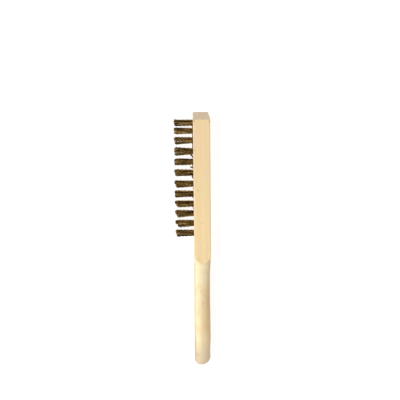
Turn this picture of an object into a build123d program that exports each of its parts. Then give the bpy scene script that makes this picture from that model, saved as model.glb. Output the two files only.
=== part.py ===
from build123d import *
import os
from math import cos, radians, sin, tan

# Straight hand wire brush, lying on one side face: a wooden stick whose head carries two rows
# of folded wire tufts, each one pinned in its own blind hole by a staple.
# X runs from the wire tips (-X) to the back of the stick (+X), Y runs along the stick with the
# toe at +Y, and Z runs up across its width. The origin is under the middle of the brush.
# All sizes are in millimetres.

# Stick
overall_length = 257.5
head_length = 144.0  # toe to the tip of the round tongue that ends each side face
stock_width = 19.0
stock_thickness = 15.2
long_edge_ease = 0.9
toe_edge_ease = 0.4
# The bristle face runs out a little before the grip: distances from the toe, and the rise
run_out_start = 136.0
run_out_end = 146.0
run_out_rise = 0.6
# The toe's lower back corner is knocked off by a slanting plane: what it takes off each edge
corner_off_thickness = 1.6
corner_off_length = 5.0
corner_off_width = 15.0

# Grip sections: distance from the tongue's tip, thickness, width, shift towards the wire
grip_sections = [
    (103.0, 14.9, 17.5, 0.60),
    (90.0, 15.3, 18.2, 0.50),
    (75.0, 15.5, 18.5, 0.50),
    (60.0, 15.5, 18.4, 0.60),
    (42.0, 15.0, 17.7, 0.58),
    (22.0, 15.1, 17.8, 0.58),
    (12.0, 15.2, 18.1, 0.47),
    (4.0, 15.6, 18.6, 0.21),
]
# Shoulder sections: distance from the tongue's tip towards the toe, thickness, width
shoulder_sections = [
    (0.0, 15.9, 19.1),
    (1.5, 16.4, 21.4),
    (3.5, 17.6, 24.4),
    (6.0, 20.4, 27.4),
    (10.0, 25.0, 32.0),
]
# Domed butt: part of an ellipsoid, cut off at a small blunt end
dome_depth = 5.7
dome_thickness = 14.6
dome_width = 17.1
dome_shift = 0.65  # of the dome's rim towards the wire
dome_lean = 1.3  # how much further the blunt end leans that way
dome_angles = [20, 32, 45, 60, 75, 90]

# Holes
row_spacing = 6.2
column_pitch = 10.0
first_column = 6.4  # from the toe
# The columns are drilled by eye: how far each one has wandered towards the toe
column_wander = [0.0, 2.0, 3.0, 2.2, 1.8, 1.2] + [0.0] * 6
hole_radius = 1.5
hole_depth = 10.0  # to the shoulder of the drill's point
drill_point_angle = 118.0

# Wire tufts
wire_reach = 17.2  # free length of the wire
tip_radius = 1.75
tip_gap = 1.0
tip_round = 0.4
fold_radius = 1.3
fold_width = 1.3

# Staples
staple_wire_radius = 0.3
staple_bend_radius = 0.4
staple_leg_offset = 1.05
staple_point = 0.18
crown_depth = 8.2
leg_depth = 13.2

# Places worked out from the sizes above
back_x = (stock_thickness + wire_reach) / 2
face_x = back_x - stock_thickness
middle_x = (back_x + face_x) / 2
middle_z = stock_width / 2
toe_y = overall_length / 2
butt_y = -overall_length / 2
tongue_y = toe_y - head_length
rows = [middle_z - row_spacing / 2, middle_z + row_spacing / 2]
columns = [
    toe_y - first_column - index * column_pitch + wander
    for index, wander in enumerate(column_wander)
]


def stock_section(y, thickness):
    """Section of the squared stick at y, its thickness measured from the back."""
    with BuildSketch(Plane.XZ.offset(-y)) as section:
        with Locations((back_x - thickness / 2, middle_z)):
            RectangleRounded(thickness, stock_width, long_edge_ease)
    return section.sketch


def mouth_of(row_z, column_y):
    """A hole's mouth on the bristle face: local x along the stick, local z out of the hole."""
    mouth = Plane(origin=(face_x, column_y, row_z), x_dir=(0, 1, 0), z_dir=(-1, 0, 0))
    return mouth.location


def leg_section(height, radius, gap):
    """D-shaped section of the tuft's leg on the +X side of the fold."""
    with BuildSketch(Plane.XY.offset(height)) as section:
        Circle(radius)
        with Locations((gap / 2, 0)):
            Rectangle(2 * radius, 2 * radius, align=(Align.MAX, Align.CENTER), mode=Mode.SUBTRACT)
    return section.sketch


def grip_section(y, thickness, width, shift=0.0):
    """Elliptical section of the grip at y, its centre shifted towards the wire."""
    with BuildSketch(Plane.XZ.offset(-y)) as section:
        with Locations((middle_x - shift, middle_z)):
            Ellipse(thickness / 2, width / 2)
    return section.sketch


mouths = {
    f"row{row}_{column:02d}": mouth_of(row_z, column_y)
    for row, row_z in enumerate(rows, start=1)
    for column, column_y in enumerate(columns, start=1)
}

# ---- One drilled hole, mouth at the origin, depth along -Z: the form that cuts the handle
drill_point_depth = hole_radius / tan(radians(drill_point_angle / 2))
with BuildPart() as hole_form:
    with BuildSketch(Plane.XZ):
        with BuildLine():
            Polyline(
                (0, 0),
                (hole_radius, 0),
                (hole_radius, -hole_depth),
                (0, -hole_depth - drill_point_depth),
                close=True,
            )
        make_face()
    revolve(axis=Axis.Z)

# ---- One staple in its hole: round wire bent into a square arch, legs pointing into the wood
with BuildPart() as staple_form:
    with BuildLine(Plane.YZ) as arch:
        FilletPolyline(
            (-staple_leg_offset, -leg_depth),
            (-staple_leg_offset, -crown_depth),
            (staple_leg_offset, -crown_depth),
            (staple_leg_offset, -leg_depth),
            radius=staple_bend_radius,
        )
    with BuildSketch(Plane(origin=arch.line @ 0, z_dir=arch.line % 0)):
        Circle(staple_wire_radius)
    sweep()
    leg_ends = staple_form.faces().sort_by(Axis.Z)[:2]
    chamfer(leg_ends.edges(), staple_point)

# ---- One tuft in its hole: a bundle of wire folded round the staple's crown
with BuildPart() as tuft_form:
    # Leg: fills its half of the hole, then opens a little towards the tip
    leg_root = fold_radius - crown_depth
    add(leg_section(leg_root, hole_radius, 2 * staple_wire_radius))
    extrude(amount=-leg_root)
    add(leg_section(0, hole_radius, 2 * staple_wire_radius))
    add(leg_section(wire_reach, tip_radius, tip_gap))
    loft()
    leg_tip = tuft_form.faces().sort_by(Axis.Z)[-1]
    fillet(leg_tip.edges(), tip_round)
    # Squeezed stretch beside the crown, between the staple's legs
    with BuildSketch(Plane.XY.offset(-crown_depth)):
        with Locations((staple_wire_radius, 0)):
            squeezed = fold_radius - staple_wire_radius
            Rectangle(squeezed, fold_width, align=(Align.MIN, Align.CENTER))
    extrude(amount=fold_radius)
    mirror(about=Plane.YZ)
    # Fold under the crown
    with BuildSketch(Plane.XZ.offset(-fold_width / 2)):
        with BuildLine():
            CenterArc((0, -crown_depth), fold_radius, 180, 180)
            Line((fold_radius, -crown_depth), (staple_wire_radius, -crown_depth))
            CenterArc((0, -crown_depth), staple_wire_radius, 180, 180)
            Line((-staple_wire_radius, -crown_depth), (-fold_radius, -crown_depth))
        make_face()
    extrude(amount=fold_width)

# ---- Outline of the grip: it clears the head, so it shapes only the grip and the shoulder
with BuildPart() as grip_form:
    blunt_fall = cos(radians(dome_angles[0]))
    for angle in dome_angles:
        fall = cos(radians(angle))
        rise = sin(radians(angle))
        dome_y = butt_y + dome_depth * (blunt_fall - fall)
        dome_centre = dome_shift + dome_lean * fall
        add(grip_section(dome_y, dome_thickness * rise, dome_width * rise, dome_centre))
    for distance, thickness, width, shift in grip_sections:
        add(grip_section(tongue_y - distance, thickness, width, shift))
    for distance, thickness, width in shoulder_sections:
        add(grip_section(tongue_y + distance, thickness, width))
    loft()
    shoulder_end = grip_form.faces().sort_by(Axis.Y)[-1]
    extrude(shoulder_end, amount=head_length)

# ---- Handle: the stick, its shaped grip, its drilled holes and the slits of the staples' legs
with BuildPart() as handle:
    add(stock_section(toe_y, stock_thickness))
    extrude(amount=run_out_start, dir=(0, -1, 0))
    toe_face = handle.faces().sort_by(Axis.Y)[-1]
    fillet(toe_face.edges(), toe_edge_ease)
    add(stock_section(toe_y - run_out_start, stock_thickness))
    add(stock_section(toe_y - run_out_end, stock_thickness + run_out_rise))
    loft()
    add(stock_section(toe_y - run_out_end, stock_thickness + run_out_rise))
    extrude(amount=overall_length - run_out_end, dir=(0, -1, 0))
    corner_plane = Plane(
        origin=(back_x - corner_off_thickness, toe_y, 0),
        z_dir=(1 / corner_off_thickness, 1 / corner_off_length, -1 / corner_off_width),
    )
    split(bisect_by=corner_plane, keep=Keep.BOTTOM)
    add(grip_form.part, mode=Mode.INTERSECT)
    with Locations(*mouths.values()):
        add(hole_form.part, mode=Mode.SUBTRACT)
        add(staple_form.part, mode=Mode.SUBTRACT)

os.makedirs("parts", exist_ok=True)
handle.part.label = "handle"
export_step(handle.part, "parts/handle.step")

# ---- One tuft and one staple to each hole
for place, mouth in mouths.items():
    with BuildPart() as tuft:
        with Locations(mouth):
            add(tuft_form.part)
    tuft.part.label = f"tuft_{place}"
    export_step(tuft.part, f"parts/tuft_{place}.step")

    with BuildPart() as staple:
        with Locations(mouth):
            add(staple_form.part)
    staple.part.label = f"staple_{place}"
    export_step(staple.part, f"parts/staple_{place}.step")
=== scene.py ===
import math
import random

import bpy
from mathutils import Matrix, Vector


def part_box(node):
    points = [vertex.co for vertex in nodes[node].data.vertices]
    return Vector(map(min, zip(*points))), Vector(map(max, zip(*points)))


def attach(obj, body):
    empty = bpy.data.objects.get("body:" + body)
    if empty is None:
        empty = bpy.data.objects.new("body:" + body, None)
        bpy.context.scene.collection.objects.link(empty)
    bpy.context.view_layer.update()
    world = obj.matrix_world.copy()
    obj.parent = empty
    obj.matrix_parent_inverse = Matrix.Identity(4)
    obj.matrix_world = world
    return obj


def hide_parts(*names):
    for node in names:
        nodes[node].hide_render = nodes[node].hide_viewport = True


# A hand wire brush on a pale studio floor. The handle and the staples are the CAD nodes with
# their own finishes; every tuft is rebuilt here as a bundle of folded, crimped wires.

MM = 0.001

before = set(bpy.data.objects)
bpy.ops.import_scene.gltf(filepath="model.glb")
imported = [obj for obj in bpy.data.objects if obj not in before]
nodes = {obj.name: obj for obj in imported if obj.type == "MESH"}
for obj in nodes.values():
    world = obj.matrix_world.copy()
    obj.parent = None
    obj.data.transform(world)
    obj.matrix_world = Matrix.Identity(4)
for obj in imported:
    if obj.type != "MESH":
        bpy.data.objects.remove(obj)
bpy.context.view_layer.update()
handle_low, handle_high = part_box("handle")

# Places on the stick, measured as its maker would: in from the back and down from the toe
STOCK_THICKNESS = 15.2 * MM
HEAD_LENGTH = 144 * MM
back_x = handle_high.x
bristle_face_x = back_x - STOCK_THICKNESS
toe_y = handle_high.y
tongue_y = toe_y - HEAD_LENGTH
butt_y = handle_low.y
stick_axis = Vector((back_x - STOCK_THICKNESS / 2, 0, (handle_low.z + handle_high.z) / 2))


# ---- Node helpers

def new_material(name):
    """An empty node material and its Principled shader."""
    material = bpy.data.materials.new(name)
    material.use_nodes = True
    tree = material.node_tree
    tree.nodes.clear()
    shader = tree.nodes.new("ShaderNodeBsdfPrincipled")
    output = tree.nodes.new("ShaderNodeOutputMaterial")
    tree.links.new(shader.outputs["BSDF"], output.inputs["Surface"])
    return material, shader


def feed(tree, socket, value):
    """Links an output into a socket, or sets the socket to a plain value."""
    if isinstance(value, bpy.types.NodeSocket):
        tree.links.new(value, socket)
    else:
        socket.default_value = value


def maths(tree, operation, first, second=0.0, third=0.0):
    """One math node; each value is a number or another node's output."""
    node = tree.nodes.new("ShaderNodeMath")
    node.operation = operation
    for socket, value in zip(node.inputs, (first, second, third)):
        feed(tree, socket, value)
    return node.outputs[0]


def ramp(tree, value, low, high, low_out=0.0, high_out=1.0):
    """Smooth step of a value from low to high."""
    node = tree.nodes.new("ShaderNodeMapRange")
    node.interpolation_type = "SMOOTHSTEP"
    for socket, setting in zip(node.inputs, (value, low, high, low_out, high_out)):
        feed(tree, socket, setting)
    return node.outputs[0]


def blend_colour(tree, factor, first, second):
    """Mixes two colours; a colour mix node has its colours in sockets 6 and 7, and gives 2."""
    node = tree.nodes.new("ShaderNodeMix")
    node.data_type = "RGBA"
    for socket, value in ((0, factor), (6, first), (7, second)):
        feed(tree, node.inputs[socket], value)
    return node.outputs[2]


def colour(red, green, blue):
    """An opaque colour in linear light."""
    return (red, green, blue, 1.0)


def stretched(tree, scale, rotation=(0.0, 0.0, 0.0)):
    """Object coordinates, turned and then scaled differently along each axis."""
    coordinates = tree.nodes.new("ShaderNodeTexCoord")
    mapping = tree.nodes.new("ShaderNodeMapping")
    mapping.inputs["Rotation"].default_value = rotation
    mapping.inputs["Scale"].default_value = scale
    tree.links.new(coordinates.outputs["Object"], mapping.inputs["Vector"])
    return mapping.outputs["Vector"]


def split_axes(tree, vector):
    """The x, y and z of a vector."""
    node = tree.nodes.new("ShaderNodeSeparateXYZ")
    tree.links.new(vector, node.inputs[0])
    return node.outputs["X"], node.outputs["Y"], node.outputs["Z"]


def noise(tree, vector, detail=3.0, roughness=0.5, distortion=0.0):
    """Noise from 0 to 1; its size and stretch come from the vector."""
    node = tree.nodes.new("ShaderNodeTexNoise")
    tree.links.new(vector, node.inputs["Vector"])
    settings = {"Scale": 1.0, "Detail": detail, "Roughness": roughness, "Distortion": distortion}
    for name, value in settings.items():
        node.inputs[name].default_value = value
    return node.outputs["Fac"]


# ---- Wood

# Small marks on the upper side: in from the back, down from the toe, half sizes across and
# along (mm), turn in the face (degrees), strength, colour
BROWN_FLECK = colour(0.34, 0.14, 0.05)
RED_FLECK = colour(0.50, 0.20, 0.10)
GREY_FLECK = colour(0.42, 0.32, 0.20)
BURN = colour(0.55, 0.27, 0.10)
TAN = colour(0.80, 0.52, 0.22)
OCHRE = colour(0.62, 0.39, 0.12)
WOOD_MARKS = [
    (11.4, 68.8, 0.46, 0.46, 0, 0.90, BROWN_FLECK),
    (14.3, 29.3, 0.35, 1.00, -35, 0.60, RED_FLECK),
    (10.2, 100.5, 1.60, 0.35, -18, 0.25, GREY_FLECK),
    (7.2, 101.9, 1.90, 0.35, -18, 0.32, GREY_FLECK),
    (1.6, 130.3, 1.60, 2.00, 0, 0.25, TAN),
    (10.9, 139.4, 1.10, 2.60, 15, 0.24, TAN),
    (13.1, 145.9, 0.42, 0.42, 0, 0.95, BROWN_FLECK),
    (9.3, 173.9, 0.28, 1.40, 8, 0.60, GREY_FLECK),
    (6.8, 178.0, 0.35, 1.40, 6, 0.35, BROWN_FLECK),
    (3.9, 181.5, 0.30, 0.80, 10, 0.35, BROWN_FLECK),
    (6.8, 187.0, 0.90, 0.60, 20, 0.25, BURN),
    (12.5, 243.9, 0.50, 1.30, 25, 0.45, GREY_FLECK),
    (14.5, 246.0, 0.60, 1.20, 20, 0.40, BROWN_FLECK),
    (10.0, 250.5, 0.40, 0.60, 0, 0.35, GREY_FLECK),
    (14.5, 1.1, 0.90, 1.00, 0, 0.70, OCHRE),
    (0.6, 1.5, 0.60, 0.90, 0, 0.65, RED_FLECK),
]


def mark_mask(tree, place, mark):
    """How strongly one small mark shows at a point of the upper side."""
    from_back, from_toe, across, along, turn, strength, _ = mark
    x, y, z = place
    cosine = math.cos(math.radians(turn))
    sine = math.sin(math.radians(turn))
    over = maths(tree, "SUBTRACT", x, back_x - from_back * MM)
    down = maths(tree, "SUBTRACT", y, toe_y - from_toe * MM)
    turned_over = maths(tree, "MULTIPLY_ADD", over, cosine, maths(tree, "MULTIPLY", down, sine))
    turned_down = maths(tree, "MULTIPLY_ADD", down, cosine, maths(tree, "MULTIPLY", over, -sine))
    far_over = maths(tree, "DIVIDE", turned_over, across * MM)
    far_down = maths(tree, "DIVIDE", turned_down, along * MM)
    squares = maths(tree, "MULTIPLY_ADD", far_over, far_over, maths(tree, "MULTIPLY", far_down, far_down))
    upper = ramp(tree, z, stick_axis.z, stick_axis.z + 3 * MM)
    return maths(tree, "MULTIPLY", ramp(tree, squares, 0.3, 1.8, strength, 0.0), upper)


def wood_patterns(tree):
    """The noises of the wood, each drawn out along the grain."""
    return {
        "rings": noise(tree, stretched(tree, (260, 6, 260), (0.02, 0.0, 0.5)), detail=2.0, distortion=0.6),
        "bands": noise(tree, stretched(tree, (900, 14, 900)), detail=3.0, roughness=0.55),
        "fibres": noise(tree, stretched(tree, (4200, 90, 4200)), detail=2.0, roughness=0.6),
        "blotches": noise(tree, stretched(tree, (110, 40, 110)), detail=3.0),
        "pores": noise(tree, stretched(tree, (1900, 420, 1900)), detail=2.0, roughness=0.7),
        "mottles": noise(tree, stretched(tree, (520, 330, 520)), detail=3.0, roughness=0.65),
    }


# How each pattern stains the wood: from and to where it sets in, strength, colour
WOOD_STAINS = {
    "rings": (0.35, 0.70, 0.35, colour(0.78, 0.56, 0.29)),
    "bands": (0.42, 0.72, 0.25, colour(0.74, 0.52, 0.27)),
    "fibres": (0.35, 0.75, 0.14, colour(0.62, 0.42, 0.22)),
    "blotches": (0.45, 0.72, 0.30, colour(0.82, 0.60, 0.44)),
    "pores": (0.58, 0.78, 0.22, colour(0.50, 0.33, 0.17)),
    "mottles": (0.48, 0.64, 0.42, colour(0.88, 0.63, 0.30)),
}


def planed_and_turned(tree, place, normal):
    """The clean wood: warm where the stick is planed flat, paler where it is turned round."""
    normal_x, _, normal_z = normal
    sides = maths(tree, "MAXIMUM", maths(tree, "ABSOLUTE", normal_x), maths(tree, "ABSOLUTE", normal_z))
    flat = ramp(tree, sides, 0.985, 0.998)
    # The planed faces end in the round tongue, with turned wood beside it
    beside_tongue = maths(
        tree, "MAXIMUM", flat, ramp(tree, place[1], tongue_y + 5 * MM, tongue_y + 11 * MM)
    )
    on_head = maths(
        tree, "MULTIPLY", beside_tongue, ramp(tree, place[1], tongue_y - 1.5 * MM, tongue_y - 0.5 * MM)
    )
    from_toe = maths(tree, "SUBTRACT", toe_y, place[1])
    towards_grip = ramp(tree, from_toe, 28 * MM, 105 * MM)
    planed_tone = blend_colour(tree, towards_grip, colour(0.86, 0.665, 0.375), colour(0.935, 0.73, 0.405))
    eased_edge_tone = colour(0.89, 0.70, 0.40)
    planed_tone = blend_colour(tree, flat, eased_edge_tone, planed_tone)
    past_shoulder = ramp(tree, from_toe, 164 * MM, 182 * MM)
    turned_tone = blend_colour(tree, past_shoulder, colour(0.945, 0.82, 0.535), colour(0.90, 0.775, 0.49))
    return blend_colour(tree, on_head, turned_tone, planed_tone)


def grip_wear_and_painted_light(tree, tone, place, normal_x):
    """The grip: warm and mottled wear in the middle of its length, greyer towards the butt as painted
    shade, with painted light and shade on its sides.
    """
    from_butt = maths(tree, "SUBTRACT", place[1], butt_y)
    warm = maths(
        tree, "MULTIPLY", ramp(tree, from_butt, 22 * MM, 50 * MM), ramp(tree, from_butt, 100 * MM, 80 * MM)
    )
    handled = noise(tree, stretched(tree, (240, 110, 240)), detail=4.0, roughness=0.6)
    handled = ramp(tree, handled, 0.40, 0.66, 0.10, 0.75)
    tone = blend_colour(tree, maths(tree, "MULTIPLY", warm, handled), tone, colour(0.84, 0.58, 0.29))
    # Partly the grip's own warm tan, partly painted shade on the side facing away from the key light
    tan_and_side_shade = maths(tree, "MULTIPLY", warm, ramp(tree, normal_x, -0.1, 0.85, 0.0, 0.60))
    tone = blend_colour(tree, tan_and_side_shade, tone, colour(0.74, 0.50, 0.24))
    # Painted shade: greyer and darker towards the butt, whose end faces away from the light
    butt_painted_shade = ramp(tree, from_butt, 36 * MM, 6 * MM, 0.0, 0.70)
    tone = blend_colour(tree, butt_painted_shade, tone, colour(0.71, 0.55, 0.385))

    # Painted light, lighter and yellower, on the side towards the wire; painted shade, darker, on the side
    # towards the back and where it faces right away
    on_grip = ramp(tree, from_butt, 124 * MM, 116 * MM)
    # Painted light: the grip's side towards the wire is lightened as if lit by the key light
    painted_light_side = maths(tree, "MULTIPLY", on_grip, ramp(tree, normal_x, -0.15, -0.60, 0.0, 0.62))
    painted_light_side = maths(tree, "MULTIPLY", painted_light_side, ramp(tree, from_butt, 12 * MM, 34 * MM))
    painted_light_side = maths(tree, "MULTIPLY", painted_light_side, ramp(tree, handled, 0.15, 0.75, 1.0, 0.55))
    tone = blend_colour(tree, painted_light_side, tone, colour(0.94, 0.86, 0.57))
    # Painted shade: the grip's side towards the back is darkened
    painted_shade_back_side = maths(tree, "MULTIPLY", on_grip, ramp(tree, normal_x, 0.62, 0.95, 0.0, 0.65))
    tone = blend_colour(tree, painted_shade_back_side, tone, colour(0.60, 0.44, 0.25))
    # Painted shade along the grip's side that faces straight towards the wire, strongest near the butt
    turned_away = maths(tree, "MULTIPLY", on_grip, ramp(tree, normal_x, -0.78, -0.98))
    painted_shade_wire_side_edge = maths(tree, "MULTIPLY", turned_away, ramp(tree, from_butt, 44 * MM, 20 * MM, 0.45, 1.0))
    return blend_colour(tree, painted_shade_wire_side_edge, tone, colour(0.58, 0.43, 0.27))


def toe_and_back_edge(tree, tone, place, normal, patterns):
    """The greyer end grain of the toe, and a warmer, darker tone along the upper back edge of the head."""
    normal_x, normal_y, normal_z = normal
    end_grain = ramp(tree, normal_y, 0.75, 0.97)
    end_tone = blend_colour(
        tree, ramp(tree, patterns["rings"], 0.3, 0.7), colour(0.60, 0.47, 0.315), colour(0.67, 0.53, 0.36)
    )
    tone = blend_colour(tree, end_grain, tone, end_tone)
    # A warmer, darker tone in bands along the head's rounded edge between back and upper side
    edge = maths(tree, "MULTIPLY", ramp(tree, normal_x, 0.15, 0.45), ramp(tree, normal_z, 0.15, 0.45))
    edge = maths(tree, "MULTIPLY", edge, ramp(tree, place[1], tongue_y + 2 * MM, tongue_y + 12 * MM))
    edge = maths(tree, "MULTIPLY", edge, ramp(tree, patterns["bands"], 0.35, 0.60, 0.20, 0.70))
    return blend_colour(tree, edge, tone, colour(0.70, 0.43, 0.23))


def wood_material():
    """Raw pale wood with its grain along Y: a warm head, a paler turned grip with painted light and shade
    on its sides, and a butt greyed by painted shade.
    """
    material, shader = new_material("raw_wood")
    tree = material.node_tree
    geometry = tree.nodes.new("ShaderNodeNewGeometry")
    normal = split_axes(tree, geometry.outputs["Normal"])
    place = split_axes(tree, stretched(tree, (1, 1, 1)))
    patterns = wood_patterns(tree)

    tone = planed_and_turned(tree, place, normal)
    for name, (low, high, strength, stain) in WOOD_STAINS.items():
        tone = blend_colour(tree, ramp(tree, patterns[name], low, high, 0.0, strength), tone, stain)
    tone = grip_wear_and_painted_light(tree, tone, place, normal[0])
    tone = toe_and_back_edge(tree, tone, place, normal, patterns)
    for mark in WOOD_MARKS:
        tone = blend_colour(tree, mark_mask(tree, place, mark), tone, mark[-1])
    feed(tree, shader.inputs["Base Color"], tone)
    feed(tree, shader.inputs["Roughness"], ramp(tree, patterns["fibres"], 0.3, 0.7, 0.55, 0.70))
    shader.inputs["Specular IOR Level"].default_value = 0.35

    bump = tree.nodes.new("ShaderNodeBump")
    bump.inputs["Strength"].default_value = 0.25
    bump.inputs["Distance"].default_value = 0.08 * MM
    tree.links.new(patterns["fibres"], bump.inputs["Height"])
    tree.links.new(bump.outputs["Normal"], shader.inputs["Normal"])
    return material


# ---- Metals

def wire_material():
    """Dull brassy brown wire; every wire differs a little in tone, with painted highlights and painted
    shade in streaks along the wires.
    """
    material, shader = new_material("brassy_wire")
    tree = material.node_tree
    geometry = tree.nodes.new("ShaderNodeNewGeometry")
    each_wire = geometry.outputs["Random Per Island"]
    tarnish = noise(tree, stretched(tree, (260, 900, 900)), detail=2.0)
    strand_highlight_and_gap_shade = noise(tree, stretched(tree, (85, 620, 620)), detail=3.0, roughness=0.6)
    tone = blend_colour(tree, each_wire, colour(0.095, 0.054, 0.016), colour(0.42, 0.265, 0.09))
    # Painted highlights as bright strands, painted shade as the dark gaps between strands, then tarnish
    # over both
    tone = blend_colour(tree, ramp(tree, strand_highlight_and_gap_shade, 0.51, 0.64, 0.0, 0.80), tone, colour(0.66, 0.44, 0.17))
    tone = blend_colour(tree, ramp(tree, strand_highlight_and_gap_shade, 0.50, 0.38, 0.0, 0.95), tone, colour(0.030, 0.017, 0.004))
    tone = blend_colour(tree, ramp(tree, tarnish, 0.45, 0.70, 0.0, 0.60), tone, colour(0.05, 0.028, 0.008))
    feed(tree, shader.inputs["Base Color"], tone)
    shader.inputs["Metallic"].default_value = 0.88
    shader.inputs["Specular IOR Level"].default_value = 0.2
    shader.inputs["Specular Tint"].default_value = colour(0.50, 0.33, 0.14)
    feed(tree, shader.inputs["Roughness"], ramp(tree, tarnish, 0.3, 0.7, 0.32, 0.55))
    return material


def steel_material():
    """Drawn steel of the staples, with faint draw lines along the wire."""
    material, shader = new_material("staple_steel")
    tree = material.node_tree
    lines = noise(tree, stretched(tree, (300, 6000, 6000)), detail=2.0)
    tone = blend_colour(tree, lines, colour(0.42, 0.42, 0.41), colour(0.62, 0.62, 0.60))
    feed(tree, shader.inputs["Base Color"], tone)
    shader.inputs["Metallic"].default_value = 1.0
    feed(tree, shader.inputs["Roughness"], ramp(tree, lines, 0.3, 0.7, 0.28, 0.45))
    return material


def finish_node(node, material):
    """Gives a CAD node's object one material."""
    mesh = nodes[node].data
    mesh.materials.clear()
    mesh.materials.append(material)


# ---- Wire tufts

WIRE_RADIUS = 0.175 * MM
WIRE_SIDES = 6
FOLDED_WIRES = 32
HOLE_RADIUS = 1.5 * MM
# The staple's crown, under which the wires fold, and the room they have along it
CROWN_RADIUS = 0.3 * MM
CROWN_DEPTH = 8.2 * MM
CROWN_HALF_WIDTH = 0.5 * MM
CRIMP_LENGTH = 3.3 * MM
CRIMP_HEIGHT = 0.24 * MM
# How single wires differ: the spread from root to tip, then the scatter (mm) of the tips, the
# curl and the reach, and of where the crimp's wave starts (radians)
FLARE = (1.05, 1.45)
TIP_SCATTER = 0.20
CURL_SCATTER = 0.12
REACH_GAIN = 0.10
REACH_SCATTER = 0.24
PHASE_SCATTER = 1.2
# How whole tufts differ in their lean (mm) along the stick and across it
LEAN_SCATTER = (0.06, 0.15)
# How stray wires differ (mm): the scatter of their ends, how far across they lie, their bulge
STRAY_SCATTER_ALONG = 0.24
STRAY_SCATTER_OUT = 0.14
STRAY_ACROSS = (0.6, 0.4)
STRAY_BULGE = 0.25
# Points along each free end, round each fold and along each stray wire
FREE_STEPS = 36
FOLD_STEPS = 6
STRAY_STEPS = 8
# Free length of the wire (mm) in each row, from the toe down; the upper row is worn shorter,
# and the wear slants evenly from one row to the other
ROW_SPACING = 6.2 * MM
ROW_REACH = {
    1: [16.8, 16.9, 16.9, 16.9, 17.0, 17.1, 17.2, 17.1, 17.2, 17.0, 16.9, 16.7],
    2: [16.5, 16.7, 16.5, 16.6, 16.7, 16.5, 15.9, 17.0, 15.5, 15.3, 14.8, 15.9],
}
LONGEST_REACH = 17.3 * MM
TIP_DOME = 2.0 * MM
# How much each column's tufts have splayed in use, from the toe
COLUMN_SPLAY = [0.95, 0.75, 1.20, 1.20, 1.10, 1.10, 1.30, 1.00, 0.95, 1.20, 1.25, 1.00]
# How far (mm) each column's tufts lean towards the toe
COLUMN_LEAN = [0.10, 0.20, 0.00, 0.05, 0.10, 0.10, 0.00, 0.15, 0.10, -0.05, -0.30, -0.10]
# How far a tuft's two halves lean apart at their tips, and the tufts that have opened further
PARTING = 0.03 * MM
PARTINGS = {(1, 4): 0.55 * MM, (2, 4): 0.65 * MM, (2, 3): 0.50 * MM, (2, 7): 0.30 * MM}
# Bent and broken wires round a tuft, by (row, column): from and to, each as (mm along the
# stick, mm out of the face), and how many
STRAY_WIRES = {
    (1, 1): [((1.2, 12.8), (2.8, 16.9), 2)],
    (1, 2): [((1.0, 14.4), (1.7, 16.9), 5)],
    (1, 8): [((0.9, 14.6), (1.8, 17.0), 5)],
    (1, 10): [((0.9, 14.4), (1.7, 16.7), 5)],
    (2, 1): [((-1.4, 0.45), (-6.8, 0.25), 8)],
    (2, 2): [((-1.4, 0.50), (-7.6, 0.25), 9)],
    (2, 3): [((-1.4, 0.60), (-8.6, 0.35), 12)],
    (2, 4): [
        ((-1.2, 3.0), (-3.7, 0.4), 18),
        ((-1.2, 2.2), (-4.6, 0.3), 18),
        ((-1.4, 1.2), (-4.6, 0.4), 14),
        ((-6.0, 1.4), (-6.9, 0.3), 10),
    ],
    (2, 5): [
        ((-3.3, 2.6), (-3.8, 0.3), 12),
        ((-3.9, 2.4), (-4.4, 0.3), 10),
        ((-1.4, 0.9), (-4.6, 0.3), 10),
    ],
    (2, 6): [((-1.4, 1.5), (-4.0, 0.3), 12), ((-1.4, 0.8), (-4.4, 0.3), 8)],
    (2, 7): [((-1.4, 0.5), (-3.6, 0.3), 3)],
    (2, 8): [((-1.4, 1.6), (-2.4, 0.3), 5)],
    (2, 9): [((-1.4, 0.8), (-3.8, 0.3), 5)],
}


def tube(vertices, faces, path):
    """Adds one wire along a path of points, with flat cut ends."""
    start = len(vertices)
    tangent = (path[1] - path[0]).normalized()
    side = tangent.orthogonal().normalized()
    for index, point in enumerate(path):
        if 0 < index < len(path) - 1:
            tangent = (path[index + 1] - path[index - 1]).normalized()
        elif index:
            tangent = (path[-1] - path[-2]).normalized()
        side = (side - tangent * side.dot(tangent)).normalized()
        over = tangent.cross(side)
        for corner in range(WIRE_SIDES):
            turn = math.tau * corner / WIRE_SIDES
            vertices.append(point + (side * math.cos(turn) + over * math.sin(turn)) * WIRE_RADIUS)
    for index in range(len(path) - 1):
        ring = start + index * WIRE_SIDES
        after_ring = ring + WIRE_SIDES
        for corner in range(WIRE_SIDES):
            after = (corner + 1) % WIRE_SIDES
            faces.append((ring + corner, ring + after, after_ring + after, after_ring + corner))
    last = start + (len(path) - 1) * WIRE_SIDES
    faces.append(tuple(range(start + WIRE_SIDES - 1, start - 1, -1)))
    faces.append(tuple(range(last, last + WIRE_SIDES)))


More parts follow.
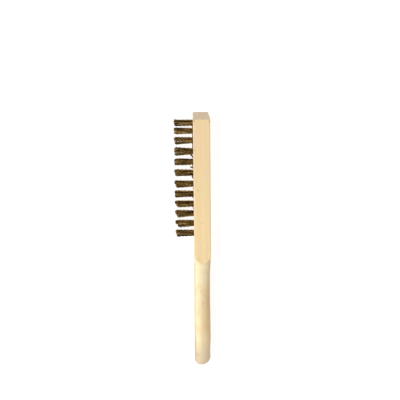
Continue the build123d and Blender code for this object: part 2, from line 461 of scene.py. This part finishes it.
def free_wire(chance, root, side, reach, splay, parting, tuft_lean, tuft_phase):
    """Points of one free wire end, from the hole's mouth out: (along the stick, across, out)."""
    flare = 1 + (chance.uniform(*FLARE) - 1) * splay * splay
    tip = Vector((root.x * flare + side * parting, root.y * flare)) + tuft_lean
    tip += Vector((chance.gauss(0, TIP_SCATTER), chance.gauss(0, TIP_SCATTER))) * MM * splay
    reach = min(reach, LONGEST_REACH) - TIP_DOME * (root.x / HOLE_RADIUS) ** 2
    curl = Vector((chance.gauss(0, CURL_SCATTER), chance.gauss(0, CURL_SCATTER))) * MM
    plane = chance.uniform(0, math.tau)
    crimp = Vector((math.cos(plane), math.sin(plane)))
    phase = tuft_phase + chance.gauss(0, PHASE_SCATTER)
    height = CRIMP_HEIGHT * chance.uniform(0.7, 1.3)
    points = []
    for step in range(FREE_STEPS + 1):
        out = reach * step / FREE_STEPS
        share = out / reach
        wave = height * math.sin(math.tau * out / CRIMP_LENGTH + phase) * min(1.0, 0.35 + out / (3 * MM))
        place = root.lerp(tip, share ** 1.2) + crimp * wave + curl * math.sin(share * math.pi * 1.4)
        points.append(Vector((place.x, place.y, out)))
    return points


def broken_wire(chance, start, end):
    """Points of one short stray end between two rough places beside the tuft."""
    ends = []
    for along, out in (start, end):
        along += chance.gauss(0, STRAY_SCATTER_ALONG)
        across = chance.gauss(*STRAY_ACROSS)
        out = max(out + chance.gauss(0, STRAY_SCATTER_OUT), WIRE_RADIUS / MM)
        ends.append(Vector((along, across, out)))
    bulge = Vector((0.0, 0.0, chance.uniform(0.0, STRAY_BULGE)))
    points = []
    for step in range(STRAY_STEPS + 1):
        share = step / STRAY_STEPS
        points.append((ends[0].lerp(ends[1], share) + bulge * math.sin(math.pi * share)) * MM)
    return points


def root_in_hole(chance, side):
    """Where a wire leaves the hole's mouth: (along the stick, across), on one side of the crown."""
    while True:
        root = Vector((chance.uniform(0, HOLE_RADIUS), chance.uniform(-HOLE_RADIUS, HOLE_RADIUS)))
        if root.length < HOLE_RADIUS - WIRE_RADIUS and root.x > WIRE_RADIUS / 2:
            root.x *= side
            return root


def fold_under_crown(first, second):
    """Points of a wire's half turn under the crown, between the mouth points of its two legs."""
    radius = max((abs(first.x) + abs(second.x)) / 2, CROWN_RADIUS + WIRE_RADIUS)
    across = max(-CROWN_HALF_WIDTH, min(CROWN_HALF_WIDTH, (first.y + second.y) / 2))
    points = []
    for step in range(FOLD_STEPS + 1):
        turn = math.pi * step / FOLD_STEPS
        below = CROWN_DEPTH + radius * math.sin(turn)
        points.append(Vector((-radius * math.cos(turn), across, -below)))
    return points


def tuft_paths(row, column):
    """Every wire of a tuft: down one leg, under the staple's crown and up the other."""
    chance = random.Random(f"tuft {row} {column}")
    tuft_phase = chance.uniform(0, math.tau)
    lean_along = chance.gauss(COLUMN_LEAN[column - 1], LEAN_SCATTER[0])
    tuft_lean = Vector((lean_along, chance.gauss(0, LEAN_SCATTER[1]))) * MM
    splay = COLUMN_SPLAY[column - 1]
    parting = PARTINGS.get((row, column), PARTING)
    slant = (ROW_REACH[2][column - 1] - ROW_REACH[1][column - 1]) * MM / ROW_SPACING
    paths = []
    for _ in range(FOLDED_WIRES):
        legs = []
        for side in (-1, 1):
            root = root_in_hole(chance, side)
            reach = ROW_REACH[row][column - 1] * MM + slant * root.y
            reach += chance.gauss(REACH_GAIN, REACH_SCATTER) * MM
            legs.append(free_wire(chance, root, side, reach, splay, parting, tuft_lean, tuft_phase))
        paths.append(legs[0][::-1] + fold_under_crown(legs[0][0], legs[1][0]) + legs[1])
    for start, end, count in STRAY_WIRES.get((row, column), ()):
        paths += [broken_wire(chance, start, end) for _ in range(count)]
    return paths


def wire_tuft(place, row, column):
    """Builds a tuft's bundle of wires in place of its CAD solid."""
    node = f"tuft_{place}"
    low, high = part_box(node)
    mouth = Vector((bristle_face_x, (low.y + high.y) / 2, (low.z + high.z) / 2))
    vertices, faces = [], []
    for path in tuft_paths(row, column):
        tube(vertices, faces, [mouth + Vector((-point.z, point.x, point.y)) for point in path])
    mesh = bpy.data.meshes.new(f"wire_{place}")
    mesh.from_pydata([tuple(vertex) for vertex in vertices], [], faces)
    mesh.shade_smooth()
    mesh.materials.append(brassy_wire)
    piece = bpy.data.objects.new(f"wire_{place}", mesh)
    bpy.context.scene.collection.objects.link(piece)
    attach(piece, "root")
    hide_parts(node)


raw_wood = wood_material()
brassy_wire = wire_material()
staple_steel = steel_material()

finish_node("handle", raw_wood)
for row, reaches in ROW_REACH.items():
    for column in range(1, len(reaches) + 1):
        place = f"row{row}_{column:02d}"
        finish_node(f"tuft_{place}", brassy_wire)
        finish_node(f"staple_{place}", staple_steel)
        wire_tuft(place, row, column)


# ---- Floor, light and camera

def make_floor():
    """A pale, faintly glowing light-table floor, which keeps the shadow soft and light."""
    mesh = bpy.data.meshes.new("floor")
    half_side = 3.0
    level = -0.05 * MM
    corners = [
        (-half_side, -half_side, level),
        (half_side, -half_side, level),
        (half_side, half_side, level),
        (-half_side, half_side, level),
    ]
    mesh.from_pydata(corners, [], [(0, 1, 2, 3)])
    material, shader = new_material("pale_floor")
    shader.inputs["Base Color"].default_value = colour(0.35, 0.35, 0.35)
    shader.inputs["Roughness"].default_value = 0.9
    shader.inputs["Specular IOR Level"].default_value = 0.1
    shader.inputs["Emission Color"].default_value = colour(1.0, 1.0, 1.0)
    shader.inputs["Emission Strength"].default_value = 0.77
    mesh.materials.append(material)
    floor = bpy.data.objects.new("floor", mesh)
    bpy.context.scene.collection.objects.link(floor)


def make_light(name, direction, distance, size, power):
    """A square area light, aimed at the middle of the stick."""
    data = bpy.data.lights.new(name, "AREA")
    data.size = size
    data.energy = power
    light = bpy.data.objects.new(name, data)
    toward = Vector(direction).normalized()
    light.location = stick_axis + toward * distance
    light.rotation_euler = toward.to_track_quat("Z", "Y").to_euler()
    bpy.context.scene.collection.objects.link(light)


def make_world():
    """Soft even light from all round; the camera itself sees a near-white surround."""
    lighting_strength = 0.50
    seen_strength = 0.97
    world = bpy.data.worlds.new("studio")
    world.use_nodes = True
    tree = world.node_tree
    tree.nodes.clear()
    output = tree.nodes.new("ShaderNodeOutputWorld")
    mix = tree.nodes.new("ShaderNodeMixShader")
    ray = tree.nodes.new("ShaderNodeLightPath")
    tree.links.new(ray.outputs["Is Camera Ray"], mix.inputs["Fac"])
    for socket, strength in ((1, lighting_strength), (2, seen_strength)):
        background = tree.nodes.new("ShaderNodeBackground")
        background.inputs["Color"].default_value = colour(1.0, 1.0, 1.0)
        background.inputs["Strength"].default_value = strength
        tree.links.new(background.outputs[0], mix.inputs[socket])
    tree.links.new(mix.outputs[0], output.inputs["Surface"])
    bpy.context.scene.world = world


def make_camera():
    """Looks down on the upper side face from beyond the toe, with the toe up in the picture."""
    tilt = math.radians(25.6)
    turn = math.radians(1.4)
    roll = math.radians(-0.52)
    distance = 1247 * MM
    # The middle of the picture lies on the head
    target = Vector((stick_axis.x - 1.81 * MM, toe_y - 82.94 * MM, stick_axis.z))
    toward = Vector((-math.sin(turn) * math.cos(tilt), math.sin(tilt), math.cos(turn) * math.cos(tilt)))
    right = Vector((0, 1, 0)).cross(toward).normalized()
    up = toward.cross(right)
    turned_right = right * math.cos(roll) + up * math.sin(roll)
    turned_up = up * math.cos(roll) - right * math.sin(roll)
    data = bpy.data.cameras.new("camera")
    data.sensor_width = 36
    data.lens = 122.7
    data.clip_start = 0.05
    camera = bpy.data.objects.new("camera", data)
    rotation = Matrix((turned_right, turned_up, toward)).transposed()
    camera.matrix_world = Matrix.Translation(target + toward * distance) @ rotation.to_4x4()
    bpy.context.scene.collection.objects.link(camera)
    bpy.context.scene.camera = camera


make_floor()
make_light("key", direction=(-0.68, 0.24, 0.69), distance=1.6, size=1.1, power=17.5)
make_light("fill", direction=(0.60, 0.10, 0.80), distance=1.6, size=1.4, power=4.2)
make_world()
make_camera()
bpy.context.scene.view_settings.view_transform = "Standard"
